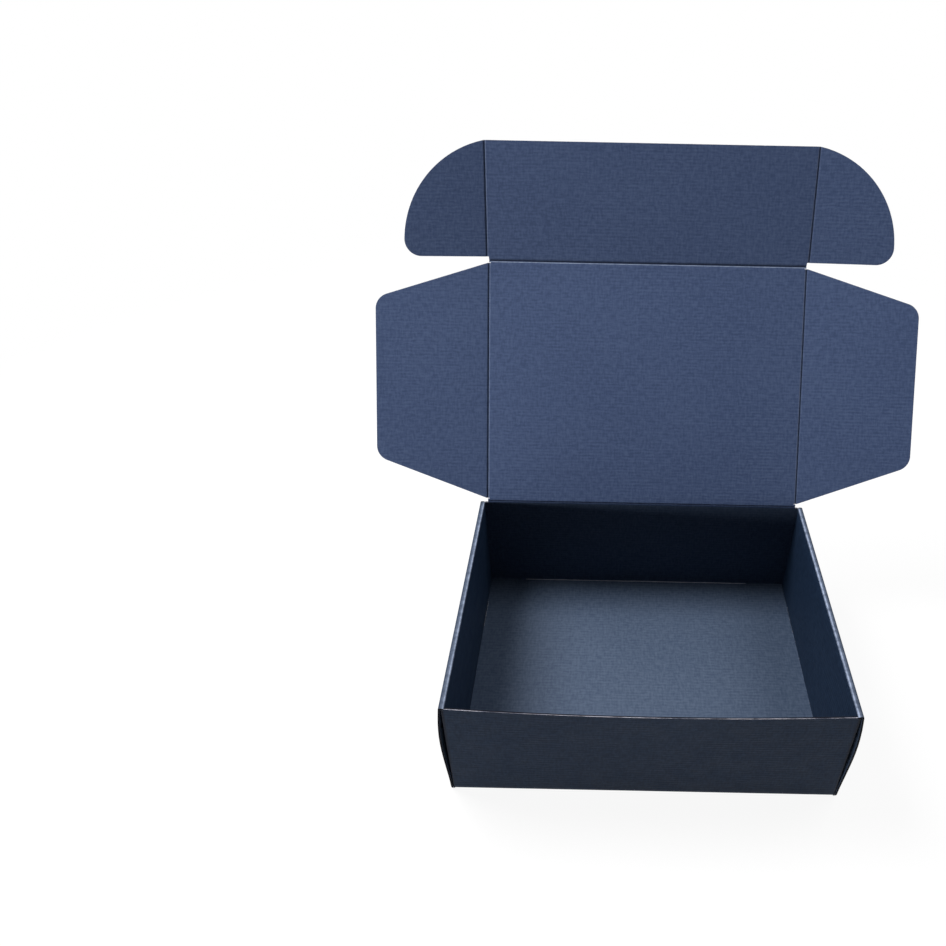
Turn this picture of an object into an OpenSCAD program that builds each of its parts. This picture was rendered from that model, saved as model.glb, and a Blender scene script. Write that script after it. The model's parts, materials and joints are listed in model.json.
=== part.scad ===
// Mailing box folded from one die-cut sheet of navy fluted board.
// Millimetres. The origin is the middle of the underside, +X right, +Y to the back, +Z up.
// The lid stands open, as a set-up box waits to be filled.

/* [Box] */
// Outside width across the two side walls
box_w = 320; // [240:1:420]
// Outside depth from the front wall to the back wall
box_d = 237; // [180:1:320]
// Height of the double side walls over their rolled rims
wall_h = 109.2; // [80:0.1:150]
// Drop from the side rims to the top edge of the front wall
front_drop = 0.9; // [0.7:0.1:4]

/* [Board] */
// Thickness of the fluted board
board_t = 1.5; // [1.2:0.1:1.8]
// Air between two layers that lie against each other
layer_gap = 0.1; // [0.05:0.05:0.3]
// Air across a crease that moves
crease_gap = 0.2; // [0.1:0.05:0.4]
// Air between a tucked-in panel and the wall beside it
tuck_gap = 0.3; // [0.2:0.1:1]

/* [Corner flaps] */
// Empty length of a side wall's pocket, between its two corner flaps
corner_flap_space = 47; // [20:1:100]
// Air above and below a corner flap
corner_flap_trim = 1.5; // [0.5:0.5:6]

/* [Locking tabs] */
// Length of a locking tab along the side wall
tab_l = 30; // [15:1:45]
// Distance from an end wall to the tab next to it
tab_inset = 35; // [15:1:45]
// Depth of a tab in its slot in the floor
tab_depth = 1.3; // [0.8:0.1:1.3]
// Air round a tab in its slot
slot_gap = 0.25; // [0.1:0.05:0.5]

/* [Lid] */
// Air between a side rim and an unfolded lid flap that closes over it
rim_gap = 0.3; // [0.2:0.1:2]
// Air between the floor and a lid flap in the closed box
flap_floor_gap = 3; // [1:0.5:30]
// Distance from the lid's corners to the ends of a lid flap
flap_inset = 2.5; // [1.5:0.5:8]
// Slant of a lid flap's end next to the tuck flap, in degrees
flap_slant_tuck = 18.4; // [5:0.1:30]
// Slant of a lid flap's end next to the back wall, in degrees
flap_slant_back = 21.2; // [5:0.1:30]
// Radius of a lid flap's two free corners
flap_corner_r = 15; // [4:1:25]

/* [Tuck flap and ears] */
// Air between the floor and the tuck flap in the closed box
tuck_floor_gap = 1.5; // [0.5:0.5:30]
// Reach of an ear from its crease to its furthest point
ear_l = 76.5; // [40:0.5:90]
// Distance from the lid's crease to an ear's straight edge
ear_setback = 3.5; // [3.5:0.5:10]
// Height of an ear's furthest point above the lid's crease
ear_belly = 13.5; // [8:0.5:30]
// Radius between an ear's straight edge and its long curve
ear_corner_r = 15; // [6:1:20]

/* [Stored pose] */
// Lean of the open lid behind upright, in degrees
lid_lean = 30; // [0:1:60]
// Fold of the tuck flap out of the lid's plane, in degrees
tuck_fold = 12; // [0:1:15]
// Fold of a lid flap out of the lid's plane, in degrees
flap_fold = 6; // [0:1:6]
// Fold of an ear out of the tuck flap's plane, in degrees
ear_fold = 8; // [0:1:30]

/* [Hidden] */
$fn = 64;

outside = "#252e42";
inside = "#465574";

half_w = box_w / 2;
half_d = box_d / 2;
half_t = board_t / 2;

// A double side wall is an outer layer, a corner flap and an inner layer.
pocket_x = half_w - board_t - layer_gap;
inner_back_x = pocket_x - board_t - layer_gap;
inner_face_x = inner_back_x - board_t;

corner_flap_l = half_d - corner_flap_space / 2;
tab_y = half_d - board_t - tab_inset - tab_l;

front_h = wall_h - front_drop;
roof_under = wall_h - board_t;
notch_z = roof_under - layer_gap;
notch_x = inner_face_x - layer_gap;

// Axes of the creases that move. The closed box sets where they lie.
ear_x = inner_face_x - tuck_gap - half_t;
flap_x = ear_x - board_t - tuck_gap;
hinge_y = half_d - half_t;
hinge_z = wall_h + rim_gap + (half_w - flap_x) * tan(flap_fold) + half_t / cos(flap_fold);
tuck_y = half_d - board_t - tuck_gap - half_t;
lid_l = hinge_y + tuck_y;
panel_start = half_t + crease_gap;

tuck_h = hinge_z - board_t - tuck_floor_gap;
flap_w = hinge_z - board_t - flap_floor_gap;

// How far a cut runs past the board that it goes through
overcut = 1;

// The long curve of an ear starts at the tuck flap's free edge and is upright at the belly.
ear_arc_r = (pow(ear_l, 2) + pow(tuck_h - ear_belly, 2)) / (2 * ear_l);
ear_arc_x = ear_l - ear_arc_r;

function unit(v) = v / norm(v);
function half_angle(p, a, b) = acos(unit(a - p) * unit(b - p)) / 2;
function tangent(p, a, b, r) = p + unit(a - p) * r / tan(half_angle(p, a, b));
function fillet_centre(p, a, b, r) =
    p + unit(unit(a - p) + unit(b - p)) * r / sin(half_angle(p, a, b));

// Convex outline whose corners are rounded by true arcs. A radius of 0 leaves a corner sharp.
module rounded_outline(points, radii) {
    n = len(points);
    polygon([
        for (i = [0 : n - 1])
            let (p = points[i], a = points[(i + n - 1) % n], b = points[(i + 1) % n])
                each radii[i] > 0 ? [tangent(p, a, b, radii[i]), tangent(p, b, a, radii[i])] : [p]
    ]);
    for (i = [0 : n - 1])
        if (radii[i] > 0)
            translate(fillet_centre(points[i], points[(i + n - 1) % n], points[(i + 1) % n], radii[i]))
                circle(r = radii[i]);
}

// Quarter of a round fold, whose centre is the origin and whose board lies towards +X and -Y.
module fold_quarter() {
    intersection() {
        circle(r = board_t);
        translate([0, -board_t])
            square(board_t);
    }
}

// Flat board with its middle on the plane Z = 0.
module board() {
    linear_extrude(board_t, center = true)
        children();
}

// Round bead on a crease, along +Y from the origin.
module bead_y(length) {
    rotate([-90, 0, 0])
        cylinder(r = half_t, h = length);
}

// Round bead on a crease, along X and centred on the origin.
module bead_x(length) {
    rotate([0, 90, 0])
        cylinder(r = half_t, h = length, center = true);
}

// A copy on the right and its mirror image on the left.
module both_sides() {
    children();
    mirror([1, 0, 0])
        children();
}

// A copy at the front and its mirror image at the back.
module both_ends() {
    children();
    mirror([0, 1, 0])
        children();
}

// Floor with the four slots for the locking tabs.
module floor_panel() {
    slot_x = inner_face_x - slot_gap;
    difference() {
        translate([board_t - half_w, board_t - half_d, 0])
            cube([box_w - 2 * board_t, box_d - 2 * board_t, board_t]);
        both_sides()
            both_ends()
                translate([slot_x, tab_y - slot_gap, -overcut])
                    cube([board_t + 2 * slot_gap, tab_l + 2 * slot_gap, board_t + 2 * overcut]);
    }
}

// Front or back wall, drawn at the front. Its top corners are notched to pass under the rims.
module end_wall(top) {
    bend_x = pocket_x - board_t;
    translate([-bend_x, -half_d, board_t])
        cube([2 * bend_x, board_t, notch_z - board_t]);
    translate([-notch_x, -half_d, notch_z])
        cube([2 * notch_x, board_t, top - notch_z]);
    // Rounded fold into the floor
    translate([-bend_x, board_t - half_d, board_t])
        rotate([90, 0, 90])
            linear_extrude(2 * bend_x)
                mirror([1, 0])
                    fold_quarter();
    both_sides()
        corner_flap(bend_x);
}

// Corner flap of an end wall, with the upright fold that joins it to the wall.
module corner_flap(bend_x) {
    flap_low = board_t + corner_flap_trim;
    flap_high = roof_under - corner_flap_trim;
    translate([bend_x, board_t - half_d, flap_low])
        linear_extrude(notch_z - flap_low)
            fold_quarter();
    translate([bend_x, board_t - half_d, flap_low])
        cube([board_t, corner_flap_l - board_t, flap_high - flap_low]);
}

// Double side wall on the right: outer layer, rolled rim, inner layer and its locking tabs.
module side_wall() {
    outer_x = half_w - board_t;
    outer_d = box_d - 2 * layer_gap;
    inner_d = box_d - 2 * board_t - 2 * tuck_gap;
    translate([0, outer_d / 2, 0])
        rotate([90, 0, 0])
            linear_extrude(outer_d) {
                translate([outer_x, board_t]) {
                    fold_quarter();
                    square([board_t, roof_under - board_t]);
                }
                translate([outer_x, roof_under])
                    mirror([0, 1])
                        fold_quarter();
                translate([inner_back_x, roof_under])
                    square([outer_x - inner_back_x, board_t]);
                translate([inner_back_x, roof_under])
                    rotate(180)
                        fold_quarter();
            }
    inner_low = board_t + layer_gap;
    translate([inner_face_x, -inner_d / 2, inner_low])
        cube([board_t, inner_d, roof_under - inner_low]);
    both_ends()
        translate([inner_face_x, tab_y, board_t - tab_depth])
            cube([board_t, tab_l, tab_depth + layer_gap]);
}

// The folded tray. One sheet makes the floor, the walls and everything inside them.
module tray() {
    color(outside) {
        floor_panel();
        end_wall(front_h);
        mirror([0, 1, 0])
            end_wall(hinge_z);
        // Rounded top of the back wall, where the lid is creased
        translate([0, hinge_y, hinge_z])
            bead_x(2 * notch_x);
        both_sides()
            side_wall();
    }
}

// Moves a flat lid, which runs from its crease along +Y, to the open pose.
module on_back_wall() {
    translate([0, hinge_y, hinge_z])
        rotate([90 - lid_lean, 0, 0])
            children();
}

// Moves a flat tuck flap, which runs from its crease along +Y, to the lid's far edge.
module on_lid_edge() {
    on_back_wall()
        translate([0, lid_l, 0])
            rotate([tuck_fold, 0, 0])
                children();
}

// Lid panel between its four creases.
module lid() {
    color(inside)
        on_back_wall() {
            translate([-flap_x, panel_start, 0])
                board()
                    square([2 * flap_x, lid_l - panel_start]);
            both_sides()
                translate([flap_x, panel_start, 0])
                    bead_y(lid_l - panel_start);
            translate([0, lid_l, 0])
                bead_x(2 * flap_x);
            both_sides()
                translate([flap_x, lid_l, 0])
                    sphere(r = half_t);
        }
}

// Outline of the right lid flap, from its crease on the Y axis towards +X.
module lid_flap_outline() {
    near = flap_inset;
    far = lid_l - flap_inset;
    rise_back = (flap_w - panel_start) * tan(flap_slant_back);
    rise_tuck = (flap_w - panel_start) * tan(flap_slant_tuck);
    rounded_outline(
        [
            [panel_start, near],
            [flap_w, near + rise_back],
            [flap_w, far - rise_tuck],
            [panel_start, far]
        ],
        [0, flap_corner_r, flap_corner_r, 0]
    );
}

// Lid flap folded on the lid's right edge.
module lid_flap() {
    color(inside)
        on_back_wall()
            translate([flap_x, 0, 0])
                rotate([0, -flap_fold, 0])
                    board()
                        lid_flap_outline();
}

module right_lid_flap() {
    lid_flap();
}

module left_lid_flap() {
    mirror([1, 0, 0])
        lid_flap();
}

// Tuck flap that goes down inside the front wall.
module tuck_flap() {
    color(inside)
        on_lid_edge() {
            translate([-ear_x, panel_start, 0])
                board()
                    square([2 * ear_x, tuck_h - panel_start]);
            both_sides()
                translate([ear_x, panel_start, 0])
                    bead_y(tuck_h - panel_start);
        }
}

// Outline of the right ear, from its crease on the Y axis towards +X.
module ear_outline() {
    corner_y = ear_setback + ear_corner_r;
    corner_x = ear_arc_x + sqrt(pow(ear_arc_r - ear_corner_r, 2) - pow(corner_y - ear_belly, 2));
    arc_centre = [ear_arc_x, ear_belly];
    touch = arc_centre + ear_arc_r * unit([corner_x, corner_y] - arc_centre);
    difference() {
        intersection() {
            translate(arc_centre)
                circle(r = ear_arc_r);
            translate([panel_start, ear_setback])
                square([ear_l, tuck_h - ear_setback]);
        }
        polygon([
            [corner_x, ear_setback],
            touch,
            touch + [ear_l, 0],
            [touch[0] + ear_l, -ear_l],
            [corner_x, -ear_l]
        ]);
    }
    translate([corner_x, corner_y])
        circle(r = ear_corner_r);
}

// Ear folded on the tuck flap's right edge.
module ear() {
    color(inside)
        on_lid_edge()
            translate([ear_x, 0, 0])
                rotate([0, -ear_fold, 0])
                    board()
                        ear_outline();
}

module right_ear() {
    ear();
}

module left_ear() {
    mirror([1, 0, 0])
        ear();
}

tray();
lid();
left_lid_flap();
right_lid_flap();
tuck_flap();
left_ear();
right_ear();
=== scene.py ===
# %% [markdown]
# A folding mailing box of navy fluted board
#
# The real box is one sheet: two paper liners with a wavy paper, the fluting, glued between
# them. A die cuts the outline and presses the creases, and the box is folded by hand.
# Here each panel is drawn on the flat sheet first, and a fold function then carries every
# point of it to its place. Drawing flat keeps one set of sheet coordinates for all panels,
# so the flutes, the grain of the print and the cut edges run on across the creases.

import json
import math

import bpy
import numpy as np
from mathutils import Matrix, Vector

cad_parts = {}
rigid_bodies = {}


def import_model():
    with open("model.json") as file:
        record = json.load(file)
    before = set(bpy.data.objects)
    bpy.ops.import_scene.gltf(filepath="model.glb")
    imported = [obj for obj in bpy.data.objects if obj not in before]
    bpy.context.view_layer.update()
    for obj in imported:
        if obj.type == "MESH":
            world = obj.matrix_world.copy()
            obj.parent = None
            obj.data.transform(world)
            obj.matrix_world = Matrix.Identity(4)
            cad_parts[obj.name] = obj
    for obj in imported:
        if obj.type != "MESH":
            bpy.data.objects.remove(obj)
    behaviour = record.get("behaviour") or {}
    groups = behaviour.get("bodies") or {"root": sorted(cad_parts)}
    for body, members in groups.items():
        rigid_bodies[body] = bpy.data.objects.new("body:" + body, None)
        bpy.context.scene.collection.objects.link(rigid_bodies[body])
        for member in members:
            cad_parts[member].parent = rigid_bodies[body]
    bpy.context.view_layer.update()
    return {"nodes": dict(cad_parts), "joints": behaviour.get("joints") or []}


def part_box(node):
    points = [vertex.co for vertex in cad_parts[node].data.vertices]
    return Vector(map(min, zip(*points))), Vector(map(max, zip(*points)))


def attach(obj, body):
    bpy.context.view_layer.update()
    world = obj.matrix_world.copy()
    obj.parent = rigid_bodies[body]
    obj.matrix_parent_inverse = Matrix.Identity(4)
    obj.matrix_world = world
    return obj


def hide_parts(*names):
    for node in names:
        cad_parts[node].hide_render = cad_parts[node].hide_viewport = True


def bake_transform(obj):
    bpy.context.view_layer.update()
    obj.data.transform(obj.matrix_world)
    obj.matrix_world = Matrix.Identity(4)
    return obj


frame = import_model()
MM = 0.001
print("solids:", ", ".join(sorted(frame["nodes"])))

# %% [markdown]
# Sizes taken from the solids
#
# A box maker works from the crease lines. They are read from the joints, because a joint
# sits on its crease, and the outer faces are read from the tray. What can't be read, such as
# the radius of a fold, is a named value in millimetres.

# %% Crease lines and panel sizes
BOARD = 1.5
HALF_BOARD = BOARD / 2
BEND_R = 0.9
BEND_ARC = BEND_R * math.pi / 2
LAYER_GAP = 0.1
TUCK_GAP = 0.3
FLAP_CLEARANCE = 3.0
TUCK_CLEARANCE = 1.5

joints = {j["name"]: j for j in frame["joints"]}
tray_high = np.array(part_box("tray")[1]) / MM


def crease_point(name):
    """Where a crease's axis is fixed, in millimetres."""
    return np.array(joints[name]["pos_m"]) / MM


def fold_at_rest(name):
    """Degrees that a crease is folded from the flat sheet in the stored pose."""
    return -joints[name]["range_deg"][0]


X_AXIS = np.array([1.0, 0.0, 0.0])
HINGE = crease_point("lid_crease")
TUCK = crease_point("tuck_flap_crease")
FLAP_X = crease_point("right_lid_flap_crease")[0]
EAR_X = crease_point("right_ear_crease")[0]
LID_L = np.linalg.norm(TUCK - HINGE)
LID_UP = (TUCK - HINGE) / LID_L
LID_FACE = np.cross(X_AXIS, LID_UP)
TUCK_UP = np.array(joints["left_ear_crease"]["axis"])
TUCK_FACE = np.cross(X_AXIS, TUCK_UP)

HALF_W = tray_high[0]
HALF_D = tray_high[1]
WALL_H = 109.2
FRONT_H = 108.3
NOTCH_X = HALF_W - 3 * BOARD - 3 * LAYER_GAP
NOTCH_Z = WALL_H - BOARD - LAYER_GAP
FLAP_W = HINGE[2] - BOARD - FLAP_CLEARANCE
TUCK_H = HINGE[2] - BOARD - TUCK_CLEARANCE
print(f"box {2 * HALF_W:.1f} x {2 * HALF_D:.1f} mm, lid {LID_L:.1f} mm, tuck flap {TUCK_H:.1f} mm")

# %% [markdown]
# The camera of the photograph
#
# The corners of the open box were measured in the photograph, and the camera that sees them
# there was worked out from the box's sizes. The picture's centre of perspective lies to the
# right of its middle, because the box stands right of centre, so the lens is shifted a little.

# %% Camera
PHOTO_PX = 946
FOCAL_PX = 780
PERSPECTIVE_CENTRE_PX = (600, 437)
CAMERA_MM = (-42.2, -468.5, 619.6)
CAMERA_YAW = math.radians(-0.03)
CAMERA_PITCH = math.radians(36.14)
CAMERA_ROLL = math.radians(1.14)
SENSOR_MM = 36


def make_camera():
    forward = Vector((
        math.sin(CAMERA_YAW) * math.cos(CAMERA_PITCH),
        math.cos(CAMERA_YAW) * math.cos(CAMERA_PITCH),
        -math.sin(CAMERA_PITCH),
    ))
    level = Vector((math.cos(CAMERA_YAW), -math.sin(CAMERA_YAW), 0))
    upright = level.cross(forward)
    right = math.cos(CAMERA_ROLL) * level + math.sin(CAMERA_ROLL) * upright
    up = math.cos(CAMERA_ROLL) * upright - math.sin(CAMERA_ROLL) * level
    lens = bpy.data.cameras.new("camera")
    lens.sensor_width = SENSOR_MM
    lens.lens = SENSOR_MM * FOCAL_PX / PHOTO_PX
    lens.shift_x = -(PERSPECTIVE_CENTRE_PX[0] - PHOTO_PX / 2) / PHOTO_PX
    lens.shift_y = (PERSPECTIVE_CENTRE_PX[1] - PHOTO_PX / 2) / PHOTO_PX
    lens.clip_start = 0.01
    lens.clip_end = 50
    camera = bpy.data.objects.new("camera", lens)
    turned = Matrix((right, up, -forward)).transposed().to_4x4()
    camera.matrix_world = Matrix.Translation(Vector(CAMERA_MM) * MM) @ turned
    bpy.context.collection.objects.link(camera)
    bpy.context.scene.camera = camera
    return camera


camera = make_camera()
print(f"camera: {camera.data.lens:.1f} mm lens, shift {camera.data.shift_x:.3f}")

# %% [markdown]
# Small tools for shaders
#
# The finishes share effects, so each effect is a node group with named inputs and outputs.
# These helpers make a group's sockets and put nodes in it, so that each group reads as a
# short list of what it does.


# %% Node helpers
class NodeWriter:
    """Adds nodes to one tree, and links their inputs as they are named."""

    def __init__(self, tree):
        self.tree = tree

    def add(self, kind, inputs=None, **settings):
        node = self.tree.nodes.new(kind)
        for name, value in settings.items():
            setattr(node, name, value)
        return self.feed(node, inputs or {})

    def feed(self, node, inputs):
        """Links each input to a socket, or sets it to a value."""
        for name, value in inputs.items():
            if isinstance(value, bpy.types.NodeSocket):
                self.tree.links.new(value, node.inputs[name])
            else:
                node.inputs[name].default_value = value
        return node

    def math(self, operation, *values):
        inputs = dict(enumerate(values))
        return self.add("ShaderNodeMath", inputs, operation=operation).outputs[0]

    def scale(self, vector, factor):
        node = self.add("ShaderNodeVectorMath", {0: vector, "Scale": factor}, operation="SCALE")
        return node.outputs[0]

    def noise(self, vector, scale, detail=2.0):
        """Noise from 0 to 1, with its middle at 0.5. The scale is in marks per metre."""
        inputs = {"Vector": vector, "Scale": scale, "Detail": detail}
        return self.add("ShaderNodeTexNoise", inputs).outputs[0]

    def streaks(self, vector, along_u, along_v):
        """Noise about 0, drawn out in one direction. The two numbers are marks per metre each way."""
        inputs = {0: vector, 1: (along_u, along_v, 1)}
        stretched = self.add("ShaderNodeVectorMath", inputs, operation="MULTIPLY").outputs[0]
        return self.math("SUBTRACT", self.noise(stretched, 1.0), 0.5)

    def remap(self, value, from_low, from_high, to_low=0.0, to_high=1.0):
        inputs = {0: value, 1: from_low, 2: from_high, 3: to_low, 4: to_high}
        return self.add("ShaderNodeMapRange", inputs).outputs[0]

    def spread(self, noise, low, high):
        """Noise, nearly all of which lies between 0.3 and 0.7, made to run from low to high."""
        return self.remap(noise, 0.3, 0.7, low, high)

    def mix(self, factor, a, b):
        """Colour a where the factor is 0, and b where it is 1."""
        return self.add("ShaderNodeMix", {0: factor, 6: a, 7: b}, data_type="RGBA").outputs[2]


SOCKETS = {
    "vector": "NodeSocketVector",
    "value": "NodeSocketFloat",
    "colour": "NodeSocketColor",
    "geometry": "NodeSocketGeometry",
    "material": "NodeSocketMaterial",
}


def new_group(name, kind, inputs, outputs):
    """A node group with its sockets. It returns the group, a writer, its inputs and its outputs."""
    tree = bpy.data.node_groups.new(name, kind)
    for title, socket in inputs:
        tree.interface.new_socket(title, in_out="INPUT", socket_type=SOCKETS[socket])
    for title, socket in outputs:
        tree.interface.new_socket(title, in_out="OUTPUT", socket_type=SOCKETS[socket])
    into = tree.nodes.new("NodeGroupInput")
    out = tree.nodes.new("NodeGroupOutput")
    return tree, NodeWriter(tree), into.outputs, out.inputs


# %% [markdown]
# Relief of the liner
#
# A liner glued to waves shows them as faint ridges, called washboarding. The paper's fibres
# and the laminate over the print add a fine, uneven grain, and short streaks both ways make
# it look a little like linen. All are far too shallow for geometry, some hundredths of a
# millimetre, so they are a height for the Bump node. The ridges cross the sheet's second
# coordinate, which is why they need the sheet's own map.

# %% Group for the liner's relief
FLUTE_PITCH = 3.2 * MM
# Heights of the relief in millimetres
WASHBOARD = 0.022
LINEN = 0.10
GRAIN = 0.012
# How far the ridges stray from straight, in radians of the wave, and how faint they get
RIDGE_WANDER = 1.6
FAINTEST_RIDGE = 0.25


def liner_relief_group():
    tree, write, given, result = new_group(
        "Liner relief", "ShaderNodeTree",
        [("Sheet", "vector"), ("Washboard", "value"), ("Linen", "value"), ("Grain", "value")],
        [("Height", "value"), ("Ridge", "value"), ("Thread", "value")],
    )
    sheet = given["Sheet"]
    v = write.add("ShaderNodeSeparateXYZ", {0: sheet}).outputs[1]
    wander = write.math("MULTIPLY", write.noise(sheet, 25.0), RIDGE_WANDER)
    turns = write.math("MULTIPLY", v, 2 * math.pi / FLUTE_PITCH)
    wave = write.math("SINE", write.math("ADD", turns, wander))
    patchy = write.remap(write.noise(sheet, 14.0), 0.35, 0.65, FAINTEST_RIDGE, 1.0)
    ridge = write.math("MULTIPLY", wave, patchy)
    washboard = write.math("MULTIPLY", ridge, given["Washboard"])
    fine = write.math("SUBTRACT", write.noise(sheet, 1600.0, 3.0), 0.5)
    coarse = write.math("SUBTRACT", write.noise(sheet, 240.0, 2.0), 0.5)
    grain = write.math("MULTIPLY", write.math("ADD", fine, coarse), given["Grain"])
    across = write.streaks(sheet, 140.0, 520.0)
    upright = write.streaks(sheet, 520.0, 150.0)
    thread = write.math("ADD", across, upright)
    linen = write.math("MULTIPLY", thread, given["Linen"])
    relief = write.math("ADD", washboard, write.math("ADD", grain, linen))
    tree.links.new(relief, result["Height"])
    tree.links.new(ridge, result["Ridge"])
    tree.links.new(thread, result["Thread"])
    return tree


relief_group = liner_relief_group()
print("group:", relief_group.name)

# %% [markdown]
# Ink, wear and painted light
#
# The navy is a printed flood coat. It lies a little unevenly, and it is painted a little lighter
# on the ridges and darker between them, as painted shading of the washboard. Where the sheet is
# cut the print breaks, and the pale paper shows as a thin broken line. Where it is folded hard
# the film is stretched and rubbed, and turns a lighter blue. Beside the pressed creases and on
# the rims, the lighter blue is also painted highlight and painted sheen. In the grooves of the
# creases and at the tray's upright corners, painted shade makes it nearly black. Two masks on
# the meshes guide this. The first is 1 at a cut edge and higher where the print has cracked.
# The second says how rubbed a fold is and how strong its painted highlight is, and is below
# zero where painted shade lies.

# %% Group for print, wear and painted light
PAPER = (0.60, 0.60, 0.68, 1)
# The lighter film is rubbed print on worn folds, and also painted highlight beside the creases and painted
# sheen on the rims
RUB_AND_HIGHLIGHT_FILM = (0.27, 0.32, 0.43, 1)
# Near-black film: painted shade in the grooves of the creases and at the tray's upright corners
PAINTED_SHADE_FILM = (0.004, 0.006, 0.012, 1)
# The paper starts to show where the first mask and the noise come to this together
BARE_FROM, BARE_TO = 1.4, 1.7
SATIN_ROUGHNESS = 0.5
# How far each of these marks moves the colour between the ink and the thin ink
# The ridges' share is painted shading of the washboard: lighter on the ridges, darker between them
PAINTED_RIDGE_SHADING = 0.18
THREAD_SHARE = 0.8
SPECK_SHARE = 0.15


def print_group():
    tree, write, given, result = new_group(
        "Print and wear", "ShaderNodeTree",
        [("Sheet", "vector"), ("Ink", "colour"), ("Thin ink", "colour"), ("Ridge", "value"),
         ("Thread", "value"), ("Cut", "value"), ("Fold", "value")],
        [("Colour", "colour"), ("Roughness", "value")],
    )
    sheet = given["Sheet"]
    cloud = write.noise(sheet, 9.0, 3.0)
    speck = write.noise(sheet, 700.0, 2.0)
    ridge_shading = write.remap(given["Ridge"], -1.0, 1.0, -PAINTED_RIDGE_SHADING, PAINTED_RIDGE_SHADING)
    thread_share = write.remap(given["Thread"], -0.4, 0.4, -THREAD_SHARE, THREAD_SHARE)
    thin = write.math("ADD", write.spread(cloud, 0.35, 0.65), ridge_shading)
    thin = write.math("ADD", thin, thread_share)
    thin = write.math("ADD", thin, write.spread(speck, -SPECK_SHARE, SPECK_SHARE))
    ink = write.mix(thin, given["Ink"], given["Thin ink"])
    broken = write.noise(sheet, 240.0, 3.0)
    bare = write.remap(write.math("ADD", given["Cut"], broken), BARE_FROM, BARE_TO)
    # Lighter film where a fold is rubbed, and where the mask puts painted highlight and painted sheen
    rub_and_highlight = write.math("MULTIPLY", given["Fold"], write.spread(broken, 0.4, 1.1))
    coat = write.mix(rub_and_highlight, ink, RUB_AND_HIGHLIGHT_FILM)
    # Painted shade: where the second mask is below zero, the colour goes to near black
    coat = write.mix(write.math("MULTIPLY", given["Fold"], -1.0), coat, PAINTED_SHADE_FILM)
    tree.links.new(write.mix(bare, coat, PAPER), result["Colour"])
    uneven = write.spread(write.noise(sheet, 60.0, 2.0), -0.04, 0.04)
    bare_rough = write.math("MULTIPLY", bare, 0.3)
    rough = write.math("ADD", write.math("ADD", uneven, bare_rough), SATIN_ROUGHNESS)
    tree.links.new(rough, result["Roughness"])
    return tree


wear_and_light_group = print_group()
print("group:", wear_and_light_group.name)

# %% [markdown]
# The finishes
#
# Both faces of the sheet are printed navy under a satin film. The outside is nearly black
# navy, and the inside has a lighter slate blue. In the tray the inside print is a darker, greyer
# copy: painted shade and painted sheen for the light inside the tray. The cut edges and the
# fluting are bare paper, apart from some that are black. At the ends of the side walls and in
# their fluting this black is painted shade of the dark gap beside the front wall.

# %% Materials
SHEET_MAP = "sheet"
CUT_MASK = "cut"
FOLD_MASK = "fold"


def new_material(name):
    """A material with its writer and its shader."""
    material = bpy.data.materials.new(name)
    material.use_nodes = True
    tree = material.node_tree
    return material, NodeWriter(tree), tree.nodes["Principled BSDF"]


def printed_board(name, ink, thin_ink, specular):
    material, write, shader = new_material(name)
    sheet = write.add("ShaderNodeUVMap", uv_map=SHEET_MAP).outputs[0]
    cut = write.add("ShaderNodeAttribute", attribute_name=CUT_MASK).outputs["Fac"]
    fold = write.add("ShaderNodeAttribute", attribute_name=FOLD_MASK).outputs["Fac"]
    relief = write.add("ShaderNodeGroup", {
        "Sheet": sheet, "Washboard": WASHBOARD, "Linen": LINEN, "Grain": GRAIN,
    }, node_tree=relief_group).outputs
    wear_and_painted_light = write.add("ShaderNodeGroup", {
        "Sheet": sheet, "Ink": ink, "Thin ink": thin_ink, "Ridge": relief["Ridge"],
        "Thread": relief["Thread"], "Cut": cut, "Fold": fold,
    }, node_tree=wear_and_light_group).outputs
    bump = write.add("ShaderNodeBump", {"Strength": 1.0, "Distance": MM, "Height": relief["Height"]})
    write.feed(shader, {
        "Base Color": wear_and_painted_light["Colour"], "Roughness": wear_and_painted_light["Roughness"],
        "Normal": bump.outputs[0], "Specular IOR Level": specular,
    })
    return material


def bare_paper(name, light, dark):
    material, write, shader = new_material(name)
    place = write.add("ShaderNodeTexCoord").outputs["Object"]
    fibres = write.noise(place, 1200.0, 4.0)
    uneven = write.remap(write.noise(place, 70.0, 3.0), 0.38, 0.62, -0.5, 0.5)
    colour = write.mix(write.math("ADD", write.spread(fibres, 0.0, 1.0), uneven), dark, light)
    bump = write.add("ShaderNodeBump", {"Strength": 0.6, "Distance": 0.05 * MM, "Height": fibres})
    write.feed(shader, {
        "Base Color": colour, "Normal": bump.outputs[0], "Roughness": 0.9, "Specular IOR Level": 0.2,
    })
    return material


# %% The box's finishes
inside_print = printed_board("inside_print", (0.042, 0.064, 0.134, 1), (0.066, 0.096, 0.182, 1), 0.14)
# The tray's inside print is a darker, greyer copy of the inside print: painted shade and painted sheen for
# the light inside the tray
tray_shade_and_sheen_print = printed_board("tray_inside_print_shade_and_sheen", (0.036, 0.054, 0.092, 1), (0.058, 0.081, 0.125, 1), 0.14)
outside_print = printed_board("outside_print", (0.007, 0.014, 0.030, 1), (0.012, 0.023, 0.046, 1), 0.06)
cut_paper = bare_paper("cut_paper", (0.62, 0.62, 0.70, 1), (0.38, 0.38, 0.46, 1))
flute_paper = bare_paper("flute_paper", (0.56, 0.56, 0.64, 1), (0.38, 0.38, 0.45, 1))
edge_paper = bare_paper("edge_paper", (0.74, 0.73, 0.82, 1), (0.10, 0.11, 0.16, 1))
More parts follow.
